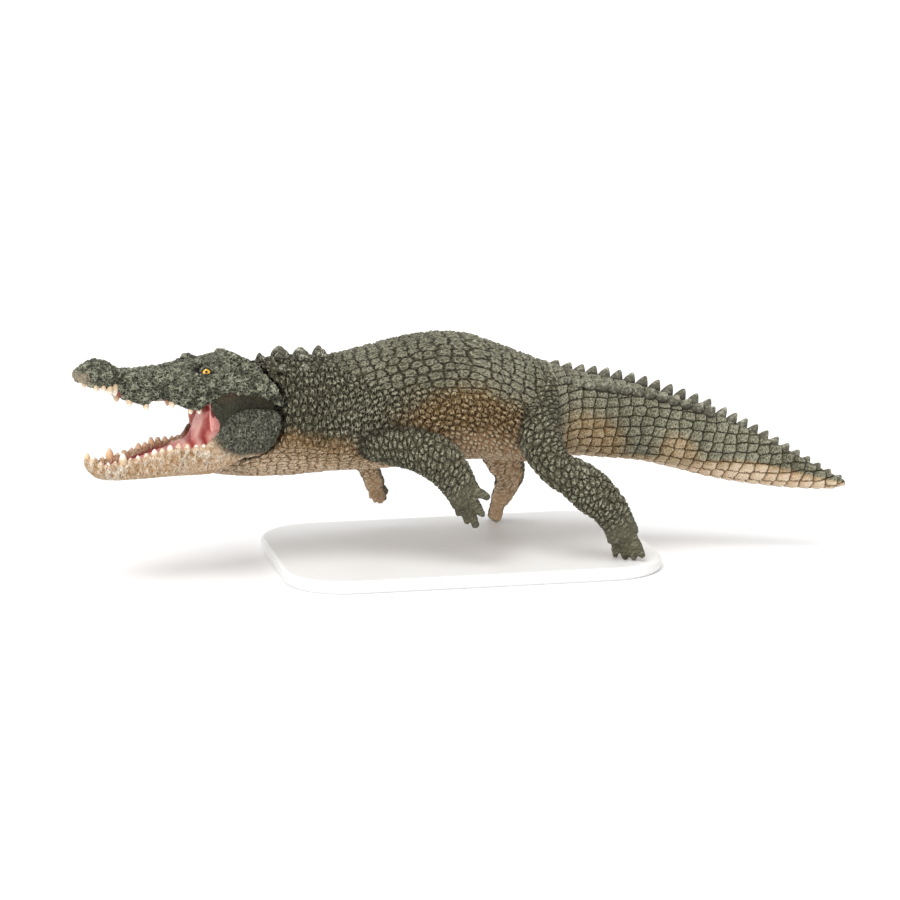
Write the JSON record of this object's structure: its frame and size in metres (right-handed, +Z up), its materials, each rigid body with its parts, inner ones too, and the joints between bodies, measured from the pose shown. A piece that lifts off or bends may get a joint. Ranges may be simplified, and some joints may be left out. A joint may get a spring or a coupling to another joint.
{
  "type": "toy crocodile figure",
  "caption": "Moulded toy crocodile lunging with its mouth wide open, its lower jaw hinged at the cheeks, standing by its hind toes on a plain flat display base.",
  "frame": {"origin": "on the floor, under the middle of the bounding box", "axes": "+X towards the tail, +Z up, and the animal's left side faces -Y"},
  "size_m": [0.18, 0.06, 0.0534],
  "materials": {
    "hide": "moulded scales, painted dark olive with dry-brushed edges, matt",
    "jaw_hide": "moulded scales, painted tan to cream, matt",
    "mouth": "painted dusty pink, satin",
    "eye": "painted yellow-orange with a black pupil, glossy",
    "stand": "plain off-white, satin"
  },
  "bodies": {
    "figure": {"neck": "hide", "trunk": "hide", "tail_base": "hide", "tail_middle": "hide", "tail_tip": "hide", "head": "hide", "upper_arm_front_left": "hide", "forearm_front_left": "hide", "hand_front_left": "hide", "upper_arm_front_right": "hide", "forearm_front_right": "hide", "hand_front_right": "hide", "thigh_hind_left": "hide", "shank_hind_left": "hide", "foot_hind_left": "hide", "thigh_hind_right": "hide", "shank_hind_right": "hide", "foot_hind_right": "hide", "eye_left": "eye", "eye_right": "eye", "stand_base": "stand"},
    "jaw": {"lower_jaw": "jaw_hide", "tongue": "mouth"}
  },
  "joints": [
    {"name": "jaw_hinge", "type": "hinge", "parent": "figure", "child": "jaw", "pos_m": [-0.05296, -0.0026, 0.0353], "axis": [-0.1903, 0.9792, -0.0698], "range_deg": [0, 24]}
  ]
}
